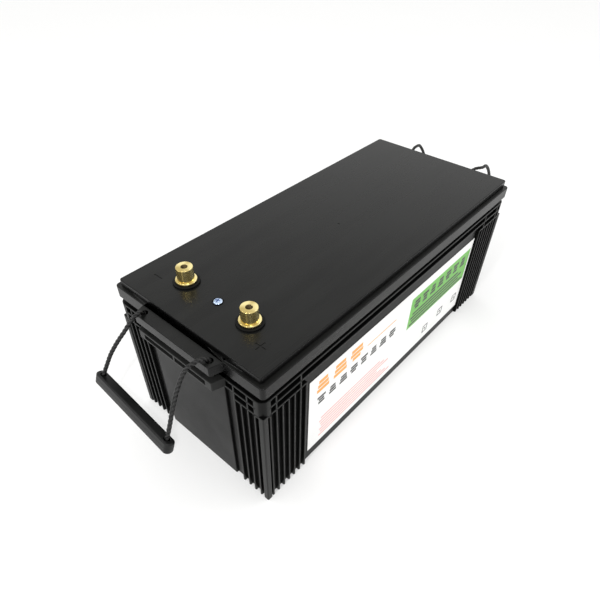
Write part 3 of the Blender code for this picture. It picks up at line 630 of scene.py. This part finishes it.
def strand_reach(angle):
    """How far three laid strands reach in one direction, as a share of the rope's radius."""
    valley, crown = 0.58, 0.42
    third = 2 * math.pi / 3
    away = abs((angle + third / 2) % third - third / 2) / (third / 2)
    return valley + crown * math.sqrt(max(0.0, 1 - away * away))


def twisted_rope(name, centres, widths, material, sides=30):
    """Three right-handed strands along a line, with closed round ends and a map of the lay."""
    count = len(centres)
    travel = [0.0]
    for a, b in zip(centres, centres[1:]):
        travel.append(travel[-1] + (b - a).length)
    normal = None
    rings = []
    for i, centre in enumerate(centres):
        way = (centres[min(i + 1, count - 1)] - centres[max(i - 1, 0)]).normalized()
        if normal is None:
            normal = way.orthogonal().normalized()
        normal = (normal - way * normal.dot(way)).normalized()
        side = way.cross(normal)
        turn = 2 * math.pi * travel[i] / ROPE_LAY
        ring = []
        for k in range(sides):
            angle = 2 * math.pi * k / sides
            reach = ROPE_RADIUS * widths[i] * strand_reach(angle - turn)
            ring.append(centre + (normal * math.cos(angle) + side * math.sin(angle)) * reach)
        rings.append(ring)
    bm = bmesh.new()
    skin(bm, rings)
    lay = bm.loops.layers.uv.new("lay")
    bm.verts.index_update()
    for face in bm.faces:
        for loop in face.loops:
            ring, k = divmod(loop.vert.index, sides)
            u = k / sides
            at_seam = any(v.index % sides == sides - 1 for v in face.verts)
            if len(face.verts) == 4 and u == 0 and at_seam:
                u = 1.0
            loop[lay].uv = (u, travel[ring] / ROPE_LAY)
    return make_piece(name, bm, material, sharp=75, weighted=False)


def rope_stations(points, step, knot):
    """Ring centres along a route and how wide the rope is at each, with both ends rounded off.

    A knot is (height, half its length, how much wider than the rope), near the first point.
    """
    knot_near, cap_angles, cap_length = 2.5, (60, 35, 12), 0.6
    centres = smooth_route(points, step)
    widths = [1.0] * len(centres)
    height, half, extra = knot
    for i, place in enumerate(centres):
        if (place - centres[0]).length < knot_near * half:
            inside = max(0.0, 1 - ((place.z - height) / half) ** 2)
            widths[i] = 1 + extra * math.sqrt(inside)
    first, second, before, last = centres[0], centres[1], centres[-2], centres[-1]
    for degrees in cap_angles:
        angle = math.radians(degrees)
        reach = ROPE_RADIUS * math.cos(angle) * cap_length
        centres.insert(0, first + (first - second).normalized() * reach)
        widths.insert(0, math.sin(angle))
        centres.append(last + (last - before).normalized() * reach)
        widths.append(math.sin(angle))
    return centres, widths


def grip_matrix(left, right, lean):
    """Places a grip: its hole mouths at two points, its top face leaning towards the case."""
    along = (left - right).normalized()
    side = along.cross(Vector((0, 0, 1))).normalized()
    basis = Matrix((side, along, side.cross(along))).transposed()
    return Matrix.Translation((left + right) / 2) @ basis.to_4x4() @ Matrix.Rotation(lean, 4, "Y")


def make_rope(end, side, label, sign, rope, material):
    """One rope from its knot under the lid over the bend to the grip, bent at the swing axis."""
    hinge_y, mouth, sag = rope
    hole = sign * ROPE_HOLE[1]
    points = [(side * x, hole + (hinge_y - hole) * drift, z) for x, z, drift in ANCHOR_ROUTE]
    last = len(LEG_ROUTE) - 1
    for i, (out, down, drift) in enumerate(LEG_ROUTE):
        t = i / last
        x = side * SWING_AXIS[0] + out * (mouth[0] - side * SWING_AXIS[0])
        z = SWING_AXIS[1] + down * (mouth[2] - SWING_AXIS[1]) - sag * 4 * t * (1 - t)
        points.append((x, hinge_y + drift * (mouth[1] - hinge_y), z))
    centres, widths = rope_stations(points, RING_STEP, KNOT)
    obj = twisted_rope("%s_rope_%s" % (end, label), centres, widths, material)
    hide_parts("%s_rope_anchor_%s" % (end, label), "%s_rope_leg_%s" % (end, label))
    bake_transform(obj)


def make_grip(name, matrix, material):
    """A moulded bar, rounded all round, with a parting line and a rope hole near each end."""
    wide, high = GRIP_SIZE
    edge, steps = 1.9 * MM, 5
    x, y = wide / 2, GRIP_LENGTH / 2
    outline = round_corners(rectangle(-x, x, -y, y), 5.3 * MM, 8)
    profile = rounded(-high, 0.0, edge, edge, steps)
    middle = -high / 2
    seam = [(middle - 0.25 * MM, 0.0), (middle, -0.14 * MM), (middle + 0.25 * MM, 0.0)]
    profile[steps + 1:steps + 1] = seam
    bm = bmesh.new()
    slab(bm, outline, profile)
    grip = make_piece(name + "_bar", bm, material)
    hole = [
        (4.6 * MM, -high - MM),
        (4.6 * MM, -high + 5.4 * MM),
        (4.2 * MM, -high + 6 * MM),
        (3.0 * MM, -high + 6.2 * MM),
        (3.0 * MM, -0.9 * MM),
        (3.25 * MM, -0.4 * MM),
        (4.1 * MM, 0.1 * MM),
        (4.1 * MM, MM),
    ]
    for sign in (-1, 1):
        combine_turned(grip, "DIFFERENCE", hole, 0.0, sign * GRIP_SPAN, 32)
    settle(grip, 50)
    grip.matrix_world = matrix
    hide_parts(name)
    return grip


def make_handle(end, side, ropes, rope, plastic):
    """The grip on its own body, the knots inside it and the two ropes."""
    mouths = {label: Vector(spec[1]) for label, spec in ropes.items()}
    matrix = grip_matrix(mouths["left"], mouths["right"], -side * GRIP_LEAN)
    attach(make_grip(end + "_grip", matrix, plastic), end + "_grip")
    for label, sign in (("left", 1), ("right", -1)):
        name = "%s_grip_knot_%s" % (end, label)
        low = -GRIP_SIZE[1] + 0.8 * MM
        route = [(0, sign * GRIP_SPAN, z) for z in (low, low + 4 * MM, -4 * MM)]
        centres, widths = rope_stations(route, 0.6 * MM, (low + 2.4 * MM, 2.6 * MM, 0.5))
        knot = twisted_rope(name + "_laid", centres, widths, rope)
        knot.matrix_world = matrix
        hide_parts(name)
        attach(knot, end + "_grip")
        make_rope(end, side, label, sign, ropes[label], rope)


# ---------------------------------------------------------------- case


def shelf_outline(side, inner=240 * MM):
    """The plan of a rope shelf, and of the case block below it, from inner outwards."""
    root, tip = SHELF_Y
    half = [(SHELF_X, tip), (FLANGE[0], root), (inner, root)]
    points = [(px, -py) for px, py in reversed(half)] + half
    if side < 0:
        points = [(-px, py) for px, py in reversed(points)]
    return points


def add_rib(bm, along_x, place, side, z1):
    """One upright rib with a little draft, its outer edges and its foot rounded."""
    inner = (PANEL[1] if along_x else PANEL[0]) - 1.5 * MM
    outer = RIB_REACH[1] if along_x else RIB_REACH[0]
    half, r = RIB_THICK / 2, 0.7 * MM
    rings = []
    for z, back in ((0.0, 1.3), (0.4 * MM, 0.5), (1.2 * MM, 0.0), (z1, 0.0)):
        reach = outer - back * MM
        flank = [(half, inner), (half - 0.15 * MM, reach - r)]
        flank += [(half - 0.35 * MM, reach - 0.3 * r), (half - 0.85 * MM, reach)]
        section = [(-across, out) for across, out in flank] + flank[::-1]
        ring = []
        for across, out in section:
            flat = (place + across, side * out) if along_x else (side * out, place + across)
            ring.append((*flat, z))
        rings.append(ring)
    skin(bm, rings)


def edge_section(z0, z1, deep, r=0.5 * MM):
    """(inset, height) pairs of a band's section, outer edges rounded."""
    side = rounded(z0, z1, r, r)
    return [(deep, z0)] + [(inset, z) for z, inset in side] + [(deep, z1)]


def add_hoop(bm, outline, section):
    """A section swept all the way round an outline."""
    skin(bm, [[(*p, z) for p in offset(outline, inset)] for inset, z in section], closed=True)


def add_corner(bm, sx, sy, x_end, y_end, section):
    """A section swept round one corner only, from x_end on the side to y_end on the end."""
    x, y = RIB_REACH
    steps = 8
    rings = []
    for inset, z in section:
        r = BAND_CORNER - inset
        ring = [(x_end, y - inset)]
        for i in range(steps + 1):
            angle = math.radians(90 - 90 * i / steps)
            px = x - BAND_CORNER + r * math.cos(angle)
            ring.append((px, y - BAND_CORNER + r * math.sin(angle)))
        ring.append((x - inset, y_end))
        rings.append([(sx * px, sy * py, z) for px, py in ring])
    columns = [[ring[i] for ring in rings] for i in range(len(rings[0]))]
    skin(bm, columns)


def make_case(material):
    """The open case: shell, bands, ribs, posts, raised end panels and the shelf blocks."""

    def box(half, r):
        return round_corners(rectangle(-half[0], half[0], -half[1], half[1]), r, 6)

    inside, neck, panel = box(CAVITY, 3 * MM), box(NECK, 5 * MM), box(PANEL, 6 * MM)
    shell = [(inside, FLOOR_THICK), (inside, NECK_TOP), (neck, NECK_TOP), (neck, NECK_FOOT)]
    shell += [(panel, NECK_FOOT), (panel, 1.2 * MM), (offset(panel, 0.35 * MM), 0.35 * MM)]
    shell += [(offset(panel, 1.2 * MM), 0.0)]
    bm = bmesh.new()
    skin(bm, [[(*p, z) for p in outline] for outline, z in shell])

    band_outline = box(RIB_REACH, BAND_CORNER)
    cross_top = RIM_TOP - MM
    for top in BAND_TOPS:
        add_hoop(bm, band_outline, edge_section(top - BAND_THICK, top, 5 * MM))
    for side in (-1, 1):
        for end in (-1, 1):
            for i, x in enumerate(LONG_RIBS):
                add_rib(bm, True, end * x, side, cross_top if i in LONG_CROSS_RIBS else RIB_TOP)
            for i, y in enumerate(END_RIBS):
                add_rib(bm, False, end * y, side, cross_top if i in END_CROSS_RIBS else RIB_TOP)
            x_end, y_end = -LONG_RIBS[-1], END_RIBS[0]
            low_band = edge_section(CORNER_BAND_TOP - BAND_THICK, CORNER_BAND_TOP, 5 * MM)
            add_corner(bm, side, end, x_end, y_end, low_band)
            block = edge_section(CORNER_BLOCK[2], RIM_TOP - 0.3 * MM, 6 * MM, 0.8 * MM)
            add_corner(bm, side, end, CORNER_BLOCK[0], CORNER_BLOCK[1], block)
            x, y = side * (RIB_REACH[0] - POST_HALF), end * (RIB_REACH[1] - POST_HALF)
            post = rectangle(x - POST_HALF, x + POST_HALF, y - POST_HALF, y + POST_HALF)
            slab(bm, round_corners(post, 1.7 * MM, 4), rounded(0.0, RIB_TOP, 1.2 * MM, 0.2 * MM))
        xs = sorted((side * (PANEL[0] - 3 * MM), side * END_PANEL[0]))
        raised = rectangle(*xs, -END_PANEL[1], END_PANEL[1])
        edges = rounded(0.0, BLOCK_BOTTOM + MM, 0.9 * MM, 0.1 * MM)
        slab(bm, round_corners(raised, 0.9 * MM, 3), edges)
        xs = sorted((side * 250 * MM, side * 270 * MM))
        root = round_corners(rectangle(*xs, -43 * MM, 43 * MM), 1.5 * MM, 3)
        slab(bm, root, rounded(RIM_TOP - 5 * MM, NECK_TOP - 0.5 * MM, 0.2 * MM, 0.4 * MM))
    case = make_piece("case_moulding", bm, material)

    # A block under each shelf, with a shallow recess on both sides of a web.
    for side in (-1, 1):
        bm = bmesh.new()
        radii = [0.8 * MM, MM, 1.6 * MM, 1.6 * MM, MM, 0.8 * MM]
        outline = round_corners(shelf_outline(side, inner=252 * MM), radii, 5)
        slab(bm, outline, rounded(BLOCK_BOTTOM, RIM_TOP, 0.7 * MM, 0.7 * MM))
        block = make_piece("shelf_block", bm, material)
        xs = sorted((side * (SHELF_X - 4 * MM), side * (SHELF_X + 10 * MM)))
        recess = [(BLOCK_BOTTOM + 2.6 * MM, 0.0), (RIM_TOP - 2.6 * MM, 0.0)]
        for y0, y1 in ((-50 * MM, -1.2 * MM), (1.2 * MM, 50 * MM)):
            combine_slab(block, "DIFFERENCE", rectangle(*xs, y0, y1), recess)
        bm = bmesh.new()
        bm.from_mesh(case.data)
        bm.from_mesh(block.data)
        bm.to_mesh(case.data)
        bm.free()
        bpy.data.objects.remove(block, do_unlink=True)
    settle(case)
    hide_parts("case")
    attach(case, "pack")


# ---------------------------------------------------------------- lid


def make_lid(material):
    """The lid: flange, two shelves and raised plate, hollow below, with its holes and marks."""
    above = PLATE_TOP + 2 * MM
    fx, fy = FLANGE
    bm = bmesh.new()
    flange = round_corners(rectangle(-fx, fx, -fy, fy), FLANGE_CORNER, 6)
    slab(bm, flange, rounded(*FLANGE_Z, 0.6 * MM, 1.0 * MM, 4))
    lid = make_piece("lid_moulding", bm, material)
    for side in (-1, 1):
        shelf = round_corners(shelf_outline(side), [0.5 * MM, MM, 2 * MM, 2 * MM, MM, 0.5 * MM], 5)
        edge = rounded(SHELF_BOTTOM, FLANGE_Z[1], 0.6 * MM, 1.0 * MM, 4)
        combine_slab(lid, "UNION", shelf, edge)
    plate = round_corners(rectangle(*PLATE_X, -PLATE_Y, PLATE_Y), 3.4 * MM, 6)
    groove = [(203 * MM, 1.0 * MM), (205.9 * MM, 1.0 * MM), (PLATE_FOOT, 0.25 * MM)]
    edge = rounded(PLATE_FOOT, PLATE_TOP, 0.25 * MM, 1.3 * MM, 4)
    combine_slab(lid, "UNION", plate, groove + edge[2:])

    # The hollow below, with a boss for the screw.
    x, y, ceiling = LID_INSIDE
    hollow = round_corners(rectangle(-x, x, -y, y), 3 * MM, 4)
    combine_slab(lid, "DIFFERENCE", hollow, [(185 * MM, 0.0), (ceiling, 0.0)])
    boss = [(6 * MM, PLATE_FOOT), (6 * MM, ceiling + MM)]
    combine_turned(lid, "UNION", boss, *SCREW_AT, 32)

    shank_hole = [(SHANK_RADIUS + 0.3 * MM, z * MM) for z in (200, 220)]
    x, y, r = ROPE_HOLE
    rope_hole = [(0, 190), (0, 204.1), (0.25, 204.7), (0.9, 205.05), (0.9, 210)]
    rope_hole = [(r + wider * MM, z * MM) for wider, z in rope_hole]
    for sign in (-1, 1):
        combine_turned(lid, "DIFFERENCE", shank_hole, TERMINAL[0], sign * TERMINAL[1], 40)
        for end in (-1, 1):
            combine_turned(lid, "DIFFERENCE", rope_hole, end * x, sign * y, 40)

    # The screw's seat, the sunken polarity marks and the dimple where the plastic was let in.
    seat = PLATE_TOP - 1.2 * MM
    well = [(2.3 * MM, 200 * MM), (2.3 * MM, seat), (6.5 * MM, seat)]
    well += [(6.5 * MM, PLATE_TOP - 0.3 * MM), (7 * MM, PLATE_TOP + 0.1 * MM), (7 * MM, above)]
    combine_turned(lid, "DIFFERENCE", well, *SCREW_AT, 40)
    long, wide, deep = MARK_SIZE
    a, b = long / 2, wide / 2
    plus = [(a, b), (b, b), (b, a), (-b, a), (-b, b), (-a, b)]
    plus += [(-x, -y) for x, y in plus]
    bar = rectangle(-b, b, -a, a)
    sunk = [(PLATE_TOP - deep, 0.25 * MM), (PLATE_TOP + 0.1 * MM, 0.0), (above, 0.0)]
    for mark, (x, y) in ((bar, MINUS_AT), (plus, PLUS_AT)):
        combine_slab(lid, "DIFFERENCE", [(x + px, y + py) for px, py in mark], sunk)
    dimple = [(0.3, -0.5), (1.0, -0.42), (1.5, -0.15), (1.7, 0.1), (1.7, 2.0)]
    dimple = [(r * MM, PLATE_TOP + z * MM) for r, z in dimple]
    combine_turned(lid, "DIFFERENCE", dimple, *GATE_AT, 24)
    settle(lid)
    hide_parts("lid")
    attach(lid, "pack")


# ---------------------------------------------------------------- terminals, screw and label


def make_terminal(name, sign, brass, bore_shade, rubber):
    """A turned brass stud with a threaded bore, on its seal; the axis is the piece's own origin.
    The faces down in the bore take a darker finish, a painted shade.
    """
    collar, top = 216.8, TERMINAL_TOP / MM
    thread_pitch, thread_depth, thread_step = 1.25 * MM, 0.5 * MM, 0.16 * MM
    outside = [(6.0, 193), (6.6, 193.3), (7.0, 194), (7.0, collar), (11.9, collar)]
    outside += [(12.25, collar + 0.15), (12.4, collar + 0.5), (12.4, collar + 1.5)]
    outside += [(12.2, collar + 2.0), (11.8, collar + 2.3), (11.3, collar + 2.4)]
    outside += [(10.3, collar + 2.4), (10.0, collar + 2.55), (9.9, collar + 2.9)]
    outside += [(9.6, top - 0.9), (9.52, top - 0.5), (9.3, top - 0.18), (8.95, top - 0.02)]
    outside += [(8.7, top), (4.4, top), (4.2, top - 0.03), (4.0, top - 0.2)]
    profile = in_metres(outside)

    def thread(angle, z):
        along = (z / thread_pitch - angle / (2 * math.pi)) % 1
        return STUD_BORE + thread_depth * abs(2 * along - 1)

    z = (top - 0.5) * MM
    while z > (top - 15.5) * MM:
        profile.append((thread, z))
        z -= thread_step
    profile += [(STUD_BORE, (top - 16) * MM), (0.4 * MM, (top - 17.8) * MM)]
    bore_bottom, bore_edge = (top - 18.2) * MM, 4.05 * MM
    bm = bmesh.new()
    turned(bm, profile)
    stud = make_piece(name + "_stud", bm, brass)
    # Painted shade: the faces down in the bore take the second, darker finish.
    stud.data.materials.append(bore_shade)
    for face in stud.data.polygons:
        middle = face.center
        if middle.z > bore_bottom and middle.xy.length < bore_edge:
            face.material_index = 1
    stud.location = (TERMINAL[0], sign * TERMINAL[1], 0)
    bm = bmesh.new()
    section = [(7.3, 214.3), (15.1, 214.3), (15.4, 214.45), (15.5, 214.8), (15.5, 215.8)]
    section += [(15.35, 216.2), (15.0, 216.4), (14.2, 216.5), (12.9, 216.5), (12.75, 216.35)]
    section += [(12.6, 216.3), (7.3, 216.3)]
    turn = [2 * math.pi * i / 64 for i in range(64)]
    rings = []
    for r, z in in_metres(section):
        rings.append([(r * math.cos(a), r * math.sin(a), z) for a in turn])
    skin(bm, rings, closed=True)
    seal = make_piece(name + "_gasket", bm, rubber)
    seal.location = stud.location
    for piece, node, slot in ((stud, name, "brass"), (seal, name + "_seal", "rubber_seal")):
        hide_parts(node)
        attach(piece, "pack")


def make_screw(material):
    """A low domed head with a cross recess, sunk in its seat; the plate's top is its own zero."""
    seat = -0.9
    profile = [(1.2, -15), (1.9, -14.2), (2.0, seat), (5.0, seat), (5.2, seat + 0.2)]
    profile += [(5.2, seat + 1.4), (5.05, seat + 1.8), (4.6, seat + 2.2), (3.8, seat + 2.6)]
    profile += [(2.6, seat + 2.9), (1.2, seat + 3.1), (0.2, seat + 3.15)]
    bm = bmesh.new()
    turned(bm, in_metres(profile), sides=48)
    screw = make_piece("centre_screw_head", bm, material)
    arm, wide = 3.3 * MM, 0.7 * MM
    cross = [(arm, wide), (wide, wide), (wide, arm), (-wide, arm), (-wide, wide), (-arm, wide)]
    cross += [(-px, -py) for px, py in cross]
    recess = [(0.2 * MM, 0.4 * MM), (1.9 * MM, 0.1 * MM), (6 * MM, 0.0)]
    combine_slab(screw, "DIFFERENCE", cross, recess)
    settle(screw)
    screw.location = (*SCREW_AT, PLATE_TOP)
    screw.rotation_euler = (0, 0, math.radians(20))
    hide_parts("centre_screw")
    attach(screw, "pack")


def make_print(name, bars, material, level=0.02 * MM):
    """Plain printed bars on the label, from (x0, x1, z0, z1) in millimetres."""
    film = 0.015 * MM
    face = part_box("label")[0][1]
    bm = bmesh.new()
    for x0, x1, z0, z1 in bars:
        rings = []
        for y in (face - level + film, face - level):
            rings.append([(x * MM, y, z * MM) for x, z in rectangle(x0, x1, z0, z1)])
        skin(bm, rings)
    piece = make_piece(name, bm, material, weighted=False)
    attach(piece, "pack")


def stacked_bars(x0, x1, z0, z1, count, rows, gap, shift):
    """Blocks of short bars in a row; their lengths follow a fixed pattern.

    Each row of bars is 0.8 bar and 0.2 gap, with no gap above the last.
    """
    bars = []
    pitch = (x1 - x0 + gap) / count
    step = (z1 - z0) / (rows - 0.2)
    for i in range(count):
        left = x0 + i * pitch
        wide = pitch - gap
        for row in range(rows):
            inset = wide * ((i * 7 + row * 5 + shift) % 4) * 0.06
            low = z0 + row * step
            bars.append((left + inset, left + wide - inset, low, low + 0.8 * step))
    return bars


def make_label(inks):
    """Plain blocks, bars and small squares in the places of the label's print."""
    make_print("label_green_panel", [(25, 188, 76, 132)], inks["green"])
    orange = stacked_bars(-175, -86, 117, 137, 3, 3, 7, 1)
    make_print("label_orange_bars", orange + [(-76, -12, 121, 122.6)], inks["orange"])
    dark = stacked_bars(-172, -9, 95, 108, 8, 3, 6, 2)
    make_print("label_black_bars", dark, inks["black"])
    lines = []
    for k in range(7):
        low = 27 + 5.6 * k
        lines.append((-166 + (k * 3 % 5), -8 - (k * 11 % 37), low, low + 2.6))
    make_print("label_red_lines", lines, inks["red"])
    panel = stacked_bars(34, 178, 108, 124, 7, 3, 6, 3)
    for k in range(4):
        low = 79 + 6.4 * k
        panel.append((30 + (k % 2) * 4, 182 - (k * 13 % 20), low, low + 3.6))
    make_print("label_panel_bars", panel, inks["black"], 0.035 * MM)
    marks = []
    for x, z in ((88, 37), (130, 44), (174, 44)):
        marks += [(x - 7, x + 7, z - 7, z - 5), (x - 7, x + 7, z + 5, z + 7)]
        marks += [(x - 7, x - 5, z - 5, z + 5), (x + 5, x + 7, z - 5, z + 5)]
        marks.append((x - 2, x + 2, z - 2, z + 2))
    make_print("label_small_marks", marks, inks["black"])


# ---------------------------------------------------------------- assembly

set_camera()
rope_finish = laid_rope()
grip_finish = moulded_plastic(
    "grip_plastic", (0.0045, 0.0047, 0.0045), 0.28, 0.38, 0.4, 0.01 * MM, gloss=0.24
)
make_handle("front", -1, HANDLES["front"], rope_finish, grip_finish)
make_handle("rear", 1, HANDLES["rear"], rope_finish, grip_finish)

# The case's panels and grooves get a much darker colour than its ribs and bands, a painted shade.
case_finish = moulded_plastic(
    "case_plastic", (0.016, 0.0163, 0.0158), 0.28, 0.38, 0.3, 0.012 * MM,
    gloss=0.09, deep=(0.0022, 0.0023, 0.0022), lit_faces=proud_faces,
)
# The lid's side faces get a much darker colour than its top, a painted shade.
lid_finish = moulded_plastic(
    "lid_plastic", (0.0085, 0.0087, 0.0082), 0.22, 0.32, 0.7, 0.002 * MM,
    gloss=0.18, deep=(0.0008, 0.0008, 0.0008), lit_faces=upper_faces,
)
# The lit and shaded ends of the brass's painted reflection streaks.
brass_lit, brass_shaded = (1.0, 0.86, 0.42), (0.58, 0.45, 0.16)
brass = turned_metal("brass", brass_lit, brass_shaded, 0.16, 0.24, 0.28 * MM, metallic=0.9)
zinc = turned_metal("zinc_plate", (0.62, 0.74, 0.92), (0.40, 0.52, 0.74), 0.22, 0.34, 0.2 * MM)
# A darker brass for the faces in the terminals' bores, a painted shade.
bore_shade = simple("bore_shade_brass", (0.10, 0.07, 0.025), 0.4, 0.55, 0.6, size=2 * MM)
rubber = simple("rubber", (0.003, 0.003, 0.003), 0.5, 0.65, gloss=0.15)
make_case(case_finish)
make_lid(lid_finish)
make_terminal("terminal_positive", -1, brass, bore_shade, rubber)
make_terminal("terminal_negative", 1, brass, bore_shade, rubber)
make_screw(zinc)
make_label({
    "green": printed_film("ink_green", (0.13, 0.45, 0.055)),
    "orange": printed_film("ink_orange", (0.85, 0.36, 0.06)),
    "black": printed_film("ink_black", (0.004, 0.004, 0.004)),
    "red": printed_film("ink_red", (0.85, 0.42, 0.40)),
})

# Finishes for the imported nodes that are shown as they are, by a word in the node's name.
carried = {
    "label": printed_film("label_film", (0.88, 0.88, 0.87)),
    "cell": simple("cell_can", (0.06, 0.16, 0.38), 0.35, 0.5, size=12 * MM),
    "busbar": simple("busbar", (0.75, 0.70, 0.62), 0.25, 0.4, 1.0),
    "end_plate": simple("aluminium", (0.70, 0.70, 0.71), 0.3, 0.45, 1.0, stretch=(0.1, 1, 1)),
    "steel_strap": simple("steel", (0.50, 0.50, 0.50), 0.3, 0.45, 1.0, stretch=(0.1, 0.1, 1)),
    "bms_bracket": simple("bracket", (0.66, 0.67, 0.68), 0.3, 0.45, 1.0, stretch=(0.1, 1, 1)),
    "bms_unit": simple("bms_housing", (0.030, 0.030, 0.036), 0.4, 0.5),
    "positive_cable": simple("red_cable", (0.42, 0.020, 0.018), 0.4, 0.55),
    "negative_cable": simple("black_cable", (0.015, 0.015, 0.015), 0.4, 0.55),
    "bms_cable": simple("black_cable_sense", (0.017, 0.017, 0.017), 0.4, 0.55),
    "balance_harness": simple("white_cable", (0.66, 0.66, 0.64), 0.45, 0.6),
    "lid_sealant_bead": simple(
        "sealant", (0.016, 0.016, 0.016), 0.35, 0.6, size=3 * MM, depth=0.1 * MM
    ),
    "insulating_board": woven_board(),
    "foam": closed_foam(),
    "pad": closed_foam(),
    "nut": brass,
}
for name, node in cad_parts.items():
    keys = [key for key in carried if key in name]
    if keys:
        for slot in node.material_slots:
            slot.material = carried[max(keys, key=len)]

set_studio()
